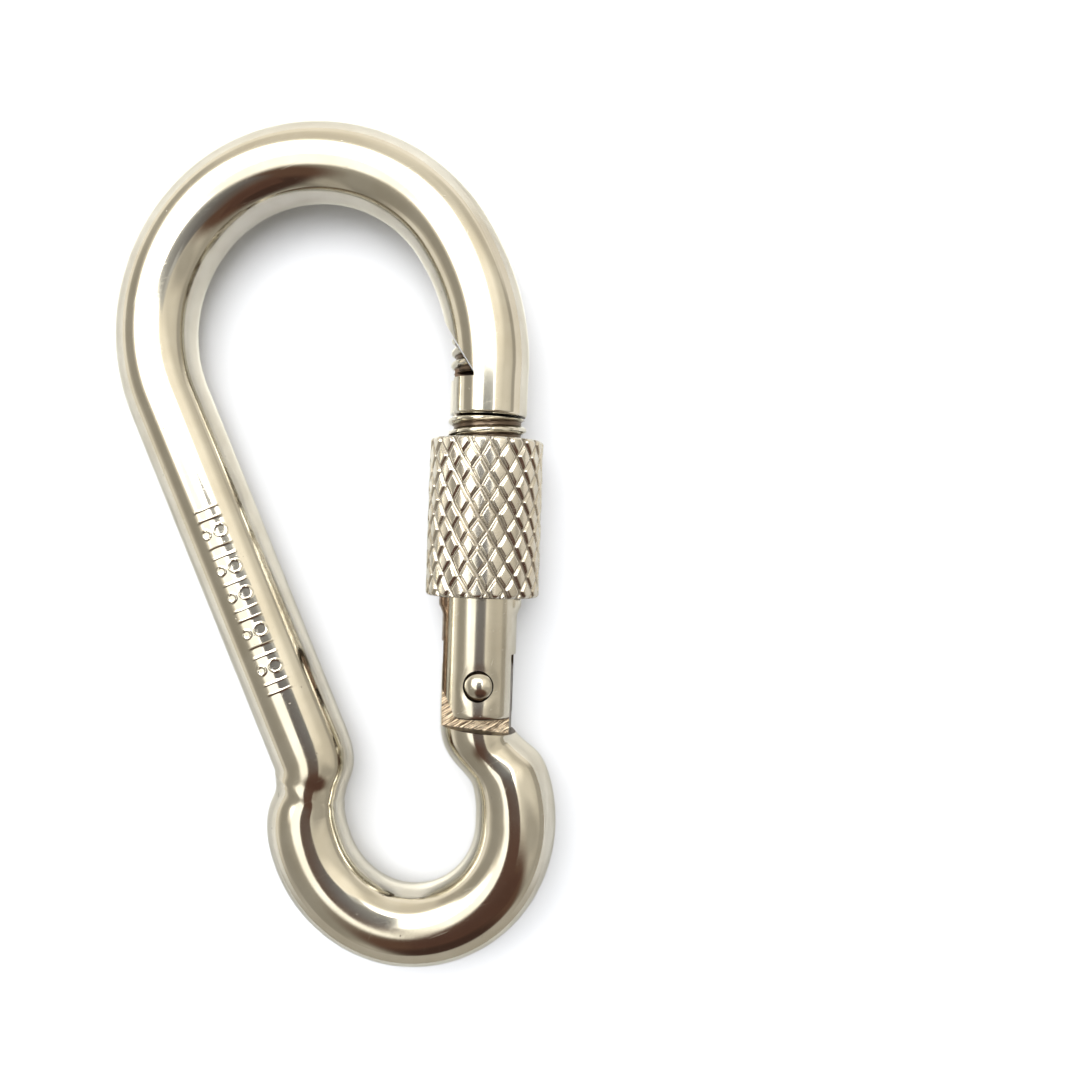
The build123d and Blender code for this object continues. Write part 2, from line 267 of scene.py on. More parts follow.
def steel(
    name, base, dark, rough, grain, lines, pits=0.0, uv_lines=False, line_rot=(0, 0, 0), line_scale=(1, 1, 1), groove_shade=None,
    painted_reflection_band=False,
):
    """Bare steel. rough is (low, high); grain is the fine unevenness of the polish, lines the depth of
    the drawn or machined lines and pits how many small pits there are. The groove-shade tuple is (radius
    where the painted shade is full, radius where it ends, strength): painted shade in the grooves round the gate's
    axis."""
    mat = bpy.data.materials.new(name)
    mat.use_nodes = True
    N = Nodes(mat.node_tree)
    out = N.add("ShaderNodeOutputMaterial")
    bsdf = N.add("ShaderNodeBsdfPrincipled")
    N.t.links.new(bsdf.outputs[0], out.inputs[0])
    tex = N.add("ShaderNodeTexCoord")
    mm = N.vec("SCALE", tex.outputs["Object"], scale=1000.0)  # millimetres

    # slow change of tone, and the fine grain that polishing leaves
    tone = N.noise(mm, 0.16, 3.0, 0.55)
    speck = N.noise(mm, 6.0, 3.0, 0.65)
    fine = N.noise(mm, 2.4, 2.0, 0.5)

    # rubbing marks and scratches
    if uv_lines:
        lv = N.stretch(tex.outputs["UV"], line_scale)
    else:
        lv = N.stretch(mm, line_scale, line_rot)
    drawn = N.noise(lv, 1.0, 3.0, 0.6, 0.15)
    s1 = N.noise(N.stretch(mm, (0.22, 9.0, 2.0), (0, 0, radians(24)), (3.1, 0.7, 2.0)), 1.0, 1.0, 0.5, 0.4)
    s2 = N.noise(N.stretch(mm, (8.0, 0.25, 2.0), (0, 0, radians(-17)), (9.1, 4.7, 5.0)), 1.0, 1.0, 0.5, 0.4)
    scratch = N.math("MAXIMUM", N.span(s1, 0.70, 0.78), N.span(s2, 0.71, 0.79))

    colour = N.mix(N.span(tone, 0.30, 0.72), base, dark)
    colour = N.mix(N.math("MULTIPLY", N.span(speck, 0.60, 0.80), 0.35), colour, dark)
    height = N.math("MULTIPLY", fine, grain[0])
    height = N.math("ADD", height, N.math("MULTIPLY", speck, grain[1]))
    height = N.math("ADD", height, N.math("MULTIPLY", drawn, lines))
    height = N.math("SUBTRACT", height, N.math("MULTIPLY", scratch, 0.0009))
    ro = N.span(tone, 0.30, 0.75, rough[0], rough[1])
    ro = N.math("ADD", ro, N.math("MULTIPLY", N.span(speck, 0.55, 0.80), 0.08))
    ro = N.math("ADD", ro, N.math("MULTIPLY", scratch, 0.12))
    if pits:
        vor = N.add("ShaderNodeTexVoronoi", feature="F1", distance="EUCLIDEAN")
        N.put(vor.inputs["Vector"], mm)
        vor.inputs["Scale"].default_value = 1.15
        vor.inputs["Randomness"].default_value = 1.0
        gate = N.span(N.noise(mm, 0.55, 1.0), 0.60, 0.66)
        pit = N.math("MULTIPLY", N.span(vor.outputs["Distance"], 0.05, 0.11, 1.0, 0.0), gate)
        pit = N.math("MULTIPLY", pit, pits)
        colour = N.mix(pit, colour, (0.16, 0.13, 0.10, 1))
        height = N.math("SUBTRACT", height, N.math("MULTIPLY", pit, 0.012))
        ro = N.math("ADD", ro, N.math("MULTIPLY", pit, 0.3))
    # painted shade: the thread roots and the knurl grooves, picked out by their distance from the gate's axis, are
    # darkened as if in shadow and made a little rougher
    if groove_shade:
        off = N.vec("SUBTRACT", N.vec("MULTIPLY", mm, (1, 0, 1)), (AX, 0, 0))
        low = N.span(N.vec("LENGTH", off), groove_shade[0], groove_shade[1], groove_shade[2], 0.0)
        colour = N.mix(low, colour, (0.115, 0.080, 0.055, 1))
        ro = N.math("ADD", ro, N.math("MULTIPLY", low, 0.18))
    if painted_reflection_band:
        # painted reflection: a dark brown band down the inner side of the gate, below the sleeve, standing in for the
        # dark inner face of the spine mirrored there
        xyz = N.add("ShaderNodeSeparateXYZ")
        N.put(xyz.inputs[0], mm)
        on = N.math("MULTIPLY", N.span(xyz.outputs[0], AX - 3.05, AX - 2.86, 1.0, 0.0), N.span(xyz.outputs[1], -5.2, -4.9, 1.0, 0.0))
        on = N.math("MULTIPLY", on, N.span(fine, 0.25, 0.55, 0.8, 1.0))
        colour = N.mix(on, colour, (0.205, 0.140, 0.100, 1))
    N.put(bsdf.inputs["Base Color"], colour)
    bsdf.inputs["Metallic"].default_value = 1.0
    bsdf.inputs["Specular Tint"].default_value = (0.72, 0.72, 0.69, 1)
    N.put(bsdf.inputs["Roughness"], ro)
    N.put(bsdf.inputs["Normal"], N.bump(height, MM))
    return mat


NICKEL = (0.730, 0.705, 0.625, 1)
NICKEL_DK = (0.640, 0.605, 0.515, 1)
bar_mat = steel(
    "polished_steel", NICKEL, NICKEL_DK, (0.075, 0.13), (0.0011, 0.00045), 0.0010,
    pits=0.8, uv_lines=True, line_scale=(1.0, 60.0, 1.0),
)
# turned steel: painted shade in its thread roots, and a painted reflection band down the gate's inner side
turned_mat = steel(
    "turned_steel", NICKEL, NICKEL_DK, (0.11, 0.19), (0.0010, 0.0006), 0.0016,
    pits=0.5, line_scale=(0.25, 7.0, 0.25), groove_shade=(3.42, 3.60, 0.95), painted_reflection_band=True,
)
milled_mat = steel(
    "milled_steel", (0.155, 0.112, 0.085, 1), (0.075, 0.052, 0.038, 1), (0.24, 0.38), (0.004, 0.003), 0.022,
    line_scale=(0.25, 5.0, 5.0),
)
filed_mat = steel(
    "filed_steel", (0.72, 0.63, 0.48, 1), (0.40, 0.31, 0.215, 1), (0.16, 0.26), (0.004, 0.003), 0.11,
    line_scale=(0.35, 4.2, 0.6), line_rot=(0, 0, radians(32)),
)
# knurled steel: painted shade in the bottoms of its grooves
knurl_mat = steel(
    "knurled_steel", (0.76, 0.73, 0.655, 1), (0.64, 0.60, 0.52, 1), (0.15, 0.24), (0.0065, 0.0045), 0.004,
    line_scale=(0.4, 6.0, 0.4), groove_shade=(5.30, 5.50, 0.55),
)
rivet_mat = steel(
    "rivet_steel", (0.78, 0.75, 0.67, 1), NICKEL_DK, (0.10, 0.17), (0.0015, 0.0008), 0.0008,
    pits=0.3, line_scale=(1.5, 1.5, 1.5),
)
spring_mat = steel(
    "spring_steel", (0.62, 0.58, 0.52, 1), (0.50, 0.46, 0.40, 1), (0.22, 0.32), (0.002, 0.001), 0.002,
    line_scale=(2.0, 2.0, 2.0),
)


# ----------------------------------------------------------------------------
# the bent bar
# ----------------------------------------------------------------------------
def bar_path():
    """Runs of (kind, length or radius, degrees, side) with the place and heading where each starts."""
    plan = [("L", 4.40)] + [("A", r, d, 1) for r, d in CROWN] + [("L", SPINE)]
    plan += [("A", *WAIST_OUT, -1)] + [("A", r, d, 1) for r, d in EYE]
    out, x, y, h, s = [], AX, COLLAR_LO, pi / 2, 0.0

    def push(item):
        nonlocal x, y, h, s
        out.append((item, x, y, h, s))
        if item[0] == "L":
            x, y, s = x + item[1] * cos(h), y + item[1] * sin(h), s + item[1]
        else:
            _, r, d, k = item
            a = radians(d)
            cx, cy = x - k * r * sin(h), y + k * r * cos(h)
            h2 = h + k * a
            x, y, s = cx + k * r * sin(h2), cy - k * r * cos(h2), s + r * a
            h = h2

    for item in plan:
        push(item)
    push(("A", WAIST_IN, math.degrees(h) - 450.0, -1))
    push(("L", HINGE_TOP - y))
    return out, s


RUNS, TOTAL = bar_path()


def bar_at(s):
    for item, x, y, h, s0 in reversed(RUNS):
        if s >= s0 - 1e-9:
            t = s - s0
            if item[0] == "L":
                return x + t * cos(h), y + t * sin(h), h
            _, r, d, k = item
            a = t / r
            cx, cy = x - k * r * sin(h), y + k * r * cos(h)
            return cx + k * r * sin(h + k * a), cy - k * r * cos(h + k * a), h + k * a
    return AX, COLLAR_LO, pi / 2


# how far the outer and the inner side of the bar stand from its centreline, at the worn collar and where
# the bar was pinched as it was bent
HALF = [
    (0.0, 3.78, 3.68), (0.12, 3.90, 3.80), (3.6, 3.90, 3.82), (5.0, 3.97, 3.95), (7.0, 4.0, 4.0),
    (106.0, 4.0, 4.0), (107.0, 4.0, 3.94), (107.6, 4.0, 3.88), (108.2, 4.0, 3.80), (108.7, 4.0, 3.62),
    (109.1, 4.0, 3.42), (109.5, 4.0, 3.30), (110.0, 3.97, 3.38), (110.4, 3.82, 3.52), (110.7, 3.55, 3.60),
    (111.0, 3.34, 3.66), (111.3, 3.28, 3.70), (111.6, 3.33, 3.73), (112.0, 3.52, 3.76), (112.5, 3.70, 3.77),
    (113.0, 3.84, 3.80), (114.0, 3.96, 3.87), (115.0, 4.0, 3.94), (116.0, 4.0, 4.0), (147.0, 4.0, 4.0),
    (148.0, 4.0, 3.90), (149.0, 4.02, 3.80), (150.0, 4.03, 3.69), (150.6, 4.02, 3.62), (151.2, 3.94, 3.55),
    (151.6, 3.80, 3.50), (152.0, 3.60, 3.44), (152.5, 3.38, 3.38), (153.0, 3.30, 3.30), (153.5, 3.36, 3.19),
    (154.0, 3.48, 3.14), (154.5, 3.62, 3.22), (155.0, 3.76, 3.40), (155.5, 3.84, 3.56), (156.0, 3.88, 3.68),
    (157.0, 3.86, 3.74), (158.5, 3.85, 3.79), (200.0, 3.85, 3.79),
]
HALF = np.array(HALF)


def soft_table(s, col):
    """Table value, with a little smoothing between its points."""
    w = 0.0
    for d, k in ((-0.22, 0.2), (-0.11, 0.2), (0.0, 0.2), (0.11, 0.2), (0.22, 0.2)):
        w = w + k * np.interp(s + d, HALF[:, 0], HALF[:, col])
    return w


# raised pattern on the spine: plain bars and rings, no lettering
MARK_S = (91.05, 112.35)  # replaced below by the run along the spine


def mark_strokes():
    """(kind, numbers) in (along, across) mm from the pattern's upper end."""
    strokes = []
    a = 0.35
    for kind in "bbobbobobbobbobb":
        if kind == "b":
            strokes.append(("bar", a, -1.72, 0.80))
            a += 1.02
        else:
            strokes.append(("ring", a + 0.34, -1.06, 0.60, 0.62))
            strokes.append(("ring", a + 0.34, 0.34, 0.42, 0.40))
            a += 1.78
    return strokes, a


def mark_height(u, w):
    strokes, _ = mark_strokes()
    d = np.full(u.shape, 9.0)
    for st in strokes:
        if st[0] == "bar":
            _, a, lo, hi = st
            dw = np.maximum(np.maximum(lo - w, w - hi), 0)
            d = np.minimum(d, np.hypot(u - a, dw))
        else:
            _, a, b, ra, rb = st
            q = np.hypot((u - a) / ra, (w - b) / rb)
            d = np.minimum(d, np.abs(q - 1) * min(ra, rb))
    return 1 - smooth(0.0, 0.12, d)


def build_bar():
    spine = [r for r in RUNS if r[0][0] == "L" and abs(r[0][1] - SPINE) < 1e-6][0]
    s_spine = spine[4]
    # the pattern starts 10.8 mm down the straight of the spine
    x0, y0, h0 = spine[1], spine[2], spine[3]
    m0 = s_spine + ((-17.41 - x0) * cos(h0) + (13.57 - y0) * sin(h0)) + 11.8
    m1 = m0 + 20.3

    def step(s):
        if m0 - 0.4 < s < m1 + 0.4:
            return 0.09
        if 105.5 < s < 116 or 148 < s < 158.5:
            return 0.13
        if s < 0.3:
            return 0.06
        if s_spine + 1 < s < 105 or s < 4.3 or s > 158.5:
            return 0.7
        return 0.36

    ss = [0.0]
    while ss[-1] < TOTAL - 0.05:
        ss.append(min(TOTAL, ss[-1] + step(ss[-1])))
    ss = np.array(ss)
    # columns: closer on the marked face
    fine = np.radians(np.arange(62.0, 118.01, 1.25))
    rest = np.radians(np.arange(118.0 + 3.7, 360 + 62.0 - 1.0, 3.72))
    th = np.concatenate([fine, rest])
    th = np.roll(th, -int(np.argmin(abs(th - radians(270)))))  # the seam lies underneath
    P = np.zeros((len(ss), len(th), 3))
    UV = np.zeros((len(ss), len(th), 2))
    for i, s in enumerate(ss):
        x, y, h = bar_at(s)
        eo, ei = float(soft_table(s, 1)), float(soft_table(s, 2))
        if s < 0.3:
            eo, ei = min(eo, 3.74 + s * 1.4), min(ei, 3.64 + s * 1.4)
        a, c = (eo + ei) / 2, (eo - ei) / 2
        b = ROD - 0.35 * (ROD - a) if s > 20 else (ROD - (0.22 - s) if s < 0.22 else ROD)
        out = np.array([sin(h), -cos(h)])
        r = np.ones_like(th)
        if m0 - 0.4 < s < m1 + 0.4:
            across = -ROD * (th % (2 * pi) - pi / 2)  # towards the outer side
            r = 1 + 0.065 / ROD * mark_height(np.full_like(th, s - m0), across)
        lat = c + a * np.cos(th) * r
        P[i, :, 0] = x + out[0] * lat
        P[i, :, 1] = y + out[1] * lat
        P[i, :, 2] = b * np.sin(th) * r
        UV[i, :, 0] = s / 9.0
        UV[i, :, 1] = np.unwrap(th) / (2 * pi)
    v, f = grid(P, flip=False)
    ob = new_object("bent_bar", v, f, [bar_mat, milled_mat, filed_mat], 35, uv=UV.reshape(-1, 2))
    for poly in ob.data.polygons:  # the sawn end
        if len(poly.vertices) > 8:
            poly.material_index = 1
    return ob


def facing_out(ob):
    """True if the closed mesh's faces point outwards."""
    import bmesh

    bm = bmesh.new()
    bm.from_mesh(ob.data)
    vol = bm.calc_volume(signed=True)
    if vol < 0:
        bmesh.ops.reverse_faces(bm, faces=bm.faces)
        bm.to_mesh(ob.data)
    bm.free()
    return vol


bar = build_bar()
facing_out(bar)

# notch above the collar, and the slot through the collar
nx, ny = AX - 1.10, COLLAR_HI + 0.45
tool = prism(
    "t1",
    [(nx, COLLAR_HI), (nx, ny), (nx - 3.30 * 2.2, ny + 5.0 * 2.2), (nx - 3.30 * 2.2 - 1, COLLAR_HI)],
    -5.2, 5.2, [milled_mat],
)
carve(bar, tool)
tool = prism(
    "t2",
    [(AX, COLLAR_LO - 1), (AX, COLLAR_HI + 0.2), (AX - 6, COLLAR_HI + 0.2), (AX - 6, COLLAR_LO - 1)],
    -2.10, 2.10, [milled_mat],
)
carve(bar, tool)

# cheeks of the hinge end, cut away to the sloping shoulder
SHOULDER, SLOPE = -18.05, -0.09
for z0, z1 in ((1.5, 5.5), (-5.5, -1.5)):
    tool = prism(
        "t3",
        [(AX - 5, SHOULDER - 5 * SLOPE), (AX + 3.1, SHOULDER + 3.1 * SLOPE), (AX + 6, SHOULDER + 3.1 * SLOPE - 0.12),
         (AX + 6, PIVOT[1] + 5), (AX - 5, PIVOT[1] + 5)],
        z0, z1, [milled_mat],
    )
    carve(bar, tool)


# outline of the tongue: everything outside it is taken off
def cam(deg, base=1.10, top=3.00):
    t = radians(deg)
    h = top + base * t
    return (PIVOT[0] - base * cos(t) - h * sin(t), PIVOT[1] - base * sin(t) + h * cos(t))


c2 = cam(34)
c3 = (c2[0] - 0.45 * cos(radians(34)), c2[1] - 0.45 * sin(radians(34)))
tongue = [(AX - 3.79, SHOULDER + 0.5), (AX - 3.79, c3[1] - 0.6), c3]
tongue += [cam(34 - 34 * k / 10) for k in range(11)]
tongue += [(AX + 1.6 + 1.62 * sin(radians(a)), PIVOT[1] + 1.1 + 1.9 * cos(radians(a))) for a in range(0, 91, 9)]
tongue += [(AX + 3.22, SHOULDER + 3.5 * SLOPE), (AX + 6, SHOULDER + 3.5 * SLOPE - 0.1), (AX + 6, PIVOT[1] + 6)]
tongue += [(AX - 6, PIVOT[1] + 6), (AX - 6, SHOULDER + 0.5)]
carve(bar, prism("t4", tongue, -2.0, 2.0, [milled_mat]))
carve(bar, pin("t5", RIVET, 1.40, -2.5, 2.5, [milled_mat]))
tidy(bar, 32)
names = [m.name for m in bar.data.materials]
for poly in bar.data.polygons:  # the flats of the tongue are filed
    if abs(poly.normal.z) > 0.9 and abs(abs(poly.center.z) - 0.0015) < 2e-5 and poly.center.y < (PIVOT[1] + 6) * MM:
        poly.material_index = names.index(filed_mat.name)

# ----------------------------------------------------------------------------
# gate: barrel with a right-hand thread, neck, threaded head and clevis
# ----------------------------------------------------------------------------
PITCH = 1.25


def thread_r(th, y, root, crest, y0):
    """Radius of a right-hand thread whose crest passes y0 on the +Z side."""
    ph = (y - y0) / PITCH - th / (2 * pi)
    d = np.abs(ph - np.round(ph)) * PITCH  # distance from the crest along the axis
    return root + (crest - root) * (1 - smooth(0.10, 0.50, d))


def barrel():
    lo = [(-16.85, 3.25), (-16.85, 3.40), (-16.80, 3.52), (-16.68, 3.63), (-16.52, 3.67)]
    lo += [(y, 3.67) for y in np.arange(-16.2, -6.9, 0.28)]
    flare = [(-6.80, 3.69), (-6.60, 3.73), (-6.30, 3.86), (-6.05, 3.98), (-5.90, 4.05), (-5.50, 4.06), (-5.12, 4.05)]
    lo += flare
    lo += [(-5.05, 4.00), (-5.00, 3.90), (-4.97, 3.60)]
    step = 0.085
    mid = [(y, 3.33) for y in np.arange(-4.93, 12.75, step)]
    hi = [(12.79, 3.33), (12.84, 3.28), (12.84, 3.10)]
    prof = lo + mid + hi
    cols = 168

    def radius(th, y, r):
        t = thread_r(th, y, 3.36, 3.90, 12.57)
        # the thread runs out at the flare, and its first turn is chamfered
        t = np.minimum(t, 3.45 + (12.84 - y) * 1.6)
        fade = smooth(-4.96, -4.2, y)
        t = 3.30 + (t - 3.30) * fade
        inside = (y > -4.96) & (y < 12.76)
        r = np.where(inside, np.maximum(t, 3.25), r)
        # the round is a little flattened where the rivet was peened
        x = r * np.sin(th)
        rho = np.hypot(x - (RIVET[0] - AX), y - RIVET[1])
        dish = 0.055 * (1 - smooth(1.35, 2.25, rho)) * smooth(0.3, 0.5, np.abs(np.cos(th)))
        r = r - np.where(y < -7, dish, 0)
        # the shoulder under the sleeve only stands out at the sides: front and back run straight up to it
        side = smooth(0.84, 0.99, np.abs(np.sin(th)))
        swell = (y > -6.9) & (y < -4.99)
        r = np.where(swell & (r > 3.67), 3.67 + (r - 3.67) * side, r)
        # moulding flash stands up along the inner side, and the outer side is dressed flatter
        low = (y < -4.99) & (r > 3.5)
        r = r + np.where(low, 0.20 * smooth(0.80, 0.93, -np.sin(th)) - 0.11 * smooth(0.80, 1.0, np.sin(th)), 0)
        # the upper right edge is rounded about the hinge, to pass under the collar as the gate swings
        reach = np.sqrt(np.maximum(26.33**2 - (y - PIVOT[1]) ** 2, 0.04)) + (PIVOT[0] - AX)
        cap = np.where(np.sin(th) > 0.05, reach / np.maximum(np.sin(th), 0.05), 9.0)
        return np.where(y > 12.3, np.minimum(r, np.maximum(cap, 0.4)), r)

    P = lathe_y(prof, cols, radius)
    v, f = grid(P)
    return new_object("gate_bar", v, f, [turned_mat, milled_mat], 35)


def head():
    step = 0.085
    prof = [(16.80, 2.9), (16.80, 3.30), (16.86, 3.36)] + [(y, 3.36) for y in np.arange(16.92, 21.95, step)] + [(22.0, 3.0)]

    def radius(th, y, r):
        t = thread_r(th, y, 3.36, 3.82, 18.10)
        return np.where((y > 16.9) & (y < 21.98), t, r)

    P = lathe_y(prof, 168, radius)
    v, f = grid(P)
    return new_object("t6", v, f, [turned_mat], 35)


gate = barrel()
facing_out(gate)
top = head()
facing_out(top)

hx, hy = AX - 1.10 - 0.20, COLLAR_HI + 0.45
turn = math.asin(1.90 / 3.76)
arc = [(AX - 3.76 * cos(turn - 2 * turn * i / 16), 3.76 * sin(turn - 2 * turn * i / 16)) for i in range(17)]
ring = [(AX - 0.15, 1.90)] + arc + [(AX - 0.15, -1.90)]
low_ring = [(max(x, AX - 3.20), z) for x, z in ring]
P = np.array([[(x, y, z) for x, z in pts] for y, pts in ((12.05, low_ring), (12.86, low_ring), (12.98, ring), (16.2, ring))])
v, f = grid(P)
neck = new_object("t7", v, f, [turned_mat], 35)
facing_out(neck)
riser = prism("t7b", [(AX - 3.20, 16.05), (hx, 16.05), (hx, 17.3), (AX - 3.20, 17.3)], -1.90, 1.90, [milled_mat])
carve(neck, riser, "UNION")
carve(gate, neck, "UNION")
carve(gate, top, "UNION")
tool = prism(
    "t8",
    [(hx, COLLAR_HI + 0.15), (hx, hy), (hx - 6.6, hy + 10.0), (AX + 6, hy + 10.0), (AX + 6, COLLAR_HI + 0.15)],
    -5.2, 5.2, [milled_mat],
)
carve(gate, tool)
# clevis slot for the tongue
tool = prism(
    "t9",
    [(AX - 6, -18), (AX + 6, -18), (AX + 6, -10.58), (AX + 2.5, -10.58), (AX + 1.7, PIVOT[1] + 4.0), (AX - 6, PIVOT[1] + 4.0)],
    -1.60, 1.60, [milled_mat],
)
carve(gate, tool)


# inner lower corner of the cheeks, rounded off so that the gate can swing
def arc3(a, b, c, n=14):
    ax_, ay_ = a
    bx, by = b
    cx, cy = c
    d = 2 * (ax_ * (by - cy) + bx * (cy - ay_) + cx * (ay_ - by))
    ux = ((ax_**2 + ay_**2) * (by - cy) + (bx**2 + by**2) * (cy - ay_) + (cx**2 + cy**2) * (ay_ - by)) / d
    uy = ((ax_**2 + ay_**2) * (cx - bx) + (bx**2 + by**2) * (ax_ - cx) + (cx**2 + cy**2) * (bx - ax_)) / d
    r = math.hypot(ax_ - ux, ay_ - uy)
    t0, t1 = math.atan2(ay_ - uy, ax_ - ux), math.atan2(cy - uy, cx - ux)
    tm = math.atan2(by - uy, bx - ux)
    for k in (-2 * pi, 0, 2 * pi):
        if min(t0, t1 + k) <= tm <= max(t0, t1 + k) and abs(t1 + k - t0) < 2 * pi:
            t1 = t1 + k
            break
    return [(ux + r * cos(t0 + (t1 - t0) * i / n), uy + r * sin(t0 + (t1 - t0) * i / n)) for i in range(n + 1)]


corner = [(AX + x, y) for x, y in arc3((-3.80, -13.86), (-2.75, -15.25), (-1.95, -16.90))]
corner += [(AX - 1.95, -18.5), (AX - 6, -18.5), (AX - 6, -13.86)]
carve(gate, prism("t10", corner, -5.2, 5.2, [milled_mat]))
carve(gate, pin("t11", RIVET, 1.48, -5.0, 5.0, [milled_mat], flare=(0.06, 0.08, 3.50)))
# blind bore for the plunger and its spring
n = 64
P = np.array(
    [[(AX + 1.60 * sin(2 * pi * i / n), y, 1.60 * cos(2 * pi * i / n)) for i in range(n)] for y in (PIVOT[1] + 3.5, 4.0)]
)
v, f = grid(P)
bore = new_object("t12", v, f, [milled_mat], None)
facing_out(bore)
carve(gate, bore)
tidy(gate, 38)


# ----------------------------------------------------------------------------
# knurled lock sleeve
# ----------------------------------------------------------------------------
def build_sleeve():
    starts, cell = 19, 2.87
    cols = starts * 24
    rows = 150
    lo, hi, R = -4.98, 10.55, 5.65
    outer = [(lo, 5.22), (lo + 0.02, 5.38), (lo + 0.10, 5.52), (lo + 0.22, 5.61)]
    outer += [(y, R) for y in np.linspace(lo + 0.34, hi - 0.30, rows)]
    outer += [(hi - 0.20, 5.61), (hi - 0.09, 5.53), (hi - 0.02, 5.40), (hi, 5.24)]
    inner = [(hi, 4.60), (hi - 0.02, 4.48), (hi - 0.15, 4.32), (hi - 1.0, 4.30), (lo + 6.9, 4.30), (lo + 6.5, 4.25),
             (lo + 6.2, 4.0), (lo + 0.3, 4.0), (lo + 0.12, 4.10), (lo, 4.25)]
    prof = np.array(outer + inner)
    n_out = len(outer)
    k = np.arange(len(prof))[:, None]

    def radius(th, y, r):
        u = starts * th / (2 * pi)
        p, q = u + (y - 2.9) / cell, u - (y - 2.9) / cell  # the two families of grooves
        p = p + 0.035 * np.sin(4 * th + 0.9 * y) + 0.02 * np.sin(9 * th - 1.7 * y)
        q = q + 0.035 * np.sin(5 * th - 0.7 * y + 2.0) + 0.02 * np.sin(8 * th + 1.9 * y)
        i, j = np.floor(p + 1e-9), np.floor(q + 1e-9)
        a, b = p - i - 0.5, q - j - 0.5  # place within one diamond
        da, db = 1 - 2 * np.abs(a), 1 - 2 * np.abs(b)  # 0 in the groove, 1 in the middle
        bite = np.maximum(0.30 * (1 - smooth(0.03, 0.46, da)), 0.25 * (1 - smooth(0.03, 0.40, db)))
        # each diamond is pressed to its own height and lean
        key = (i - j) * 7.31 + ((i + j) % (2 * starts)) * 3.17
        h1, h2, h3 = (np.mod(np.sin(key * m + c) * 4375.85, 1.0) - 0.5 for m, c in ((1.0, 0.3), (1.7, 2.1), (2.3, 4.4)))
        top = 0.035 * (h1 + 0.5) + 0.16 * (h2 * a + h3 * b) + 0.05 * (a * a + b * b)
        low = np.maximum(bite, np.maximum(top, 0)) + np.minimum(bite, np.maximum(top, 0)) * 0.3
        edge = smooth(lo, lo + 0.30, y) * (1 - smooth(hi - 0.30, hi, y))
        return np.where(k < n_out, r - low * (0.45 + 0.55 * edge), r)

    P = lathe_y(prof, cols, radius)
    v, f = grid(P, wrap_u=True, cap=False)
    return new_object("knurled_sleeve", v, f, [knurl_mat], 50)


sleeve = build_sleeve()
facing_out(sleeve)


# ----------------------------------------------------------------------------
# rivet, plunger and spring
# ----------------------------------------------------------------------------
def build_rivet():
    top, edge, r = 3.98, 3.36, 1.37
    half = [(0.02, top)]
    rd = (r**2 + (top - edge) ** 2) / (2 * (top - edge))
    for i in range(1, 15):
        q = r * i / 14
        half.append((q, top - rd + (rd**2 - q**2) ** 0.5))
    half += [(1.37, 3.26), (1.36, 2.6), (1.36, 1.2), (1.36, 0.0)]
    prof = half + [(a, -b) for a, b in half[::-1][1:]]
    n = 64
    P = np.array(
        [[(RIVET[0] + q * cos(2 * pi * i / n), RIVET[1] + q * sin(2 * pi * i / n), z) for i in range(n)] for q, z in prof]
    )
    v, f = grid(P)
    return new_object("domed_rivet", v, f, [rivet_mat], 40)


def build_plunger():
    lo = PIVOT[1] + 3.02
    prof = [(lo, 0.05), (lo, 1.30), (lo + 0.06, 1.42), (lo + 0.2, 1.50), (lo + 2.4, 1.50), (lo + 2.5, 1.44),
            (lo + 2.7, 1.44), (lo + 2.8, 1.50), (lo + 4.92, 1.50), (lo + 5.0, 1.44), (lo + 5.0, 0.75), (lo + 6.3, 0.75),
            (lo + 6.45, 0.65), (lo + 6.5, 0.52), (lo + 6.5, 0.05)]
    v, f = grid(lathe_y(prof, 64))
    return new_object("plunger_pin", v, f, [spring_mat], 35)


def build_spring():
    """Compression coil with closed, flattened end turns."""
    lo, hi, wire, rc = PIVOT[1] + 3.02 + 5.0 + 0.24, 4.0 - 0.24, 0.22, 1.24
    turns, per, nc = 10.0, 40, 14
    n = int(turns * per)
    t = np.linspace(0, 1, n + 1)
    # the first and last turn lie close
    k = np.interp(t, [0, 1 / turns, 1 - 1 / turns, 1], [0, 0.46 / (hi - lo), 1 - 0.46 / (hi - lo), 1])
    ang = 2 * pi * turns * t
    C = np.stack([AX + rc * np.sin(ang), lo + (hi - lo) * k, rc * np.cos(ang)], axis=-1)
    T = np.gradient(C, axis=0)
    T /= np.linalg.norm(T, axis=1)[:, None]
    Rv = np.stack([np.sin(ang), 0 * ang, np.cos(ang)], axis=-1)
    B = np.cross(T, Rv)
    B /= np.linalg.norm(B, axis=1)[:, None]
    c = np.arange(nc) * 2 * pi / nc
    P = C[:, None, :] + wire * (Rv[:, None, :] * np.cos(c)[None, :, None] + B[:, None, :] * np.sin(c)[None, :, None])
    v, f = grid(P)
    return new_object("coil_spring", v, f, [spring_mat], 50)


rivet = build_rivet()
plunger = build_plunger()
spring = build_spring()
for ob in (rivet, plunger, spring):
    facing_out(ob)

for ob, body, node, slot in (
    (bar, "body", "hook_body", "polished_steel"),
    (gate, "gate_arm", "gate", "turned_steel"),
    (sleeve, "sleeve", "lock_sleeve", "knurled_steel"),
    (rivet, "body", "hinge_rivet", "turned_steel"),
    (plunger, "plunger", "spring_plunger", "spring_steel"),
    (spring, "gate_arm", "return_spring", "spring_steel"),
):
    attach(ob, body)
    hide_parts(node)
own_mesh(spring)

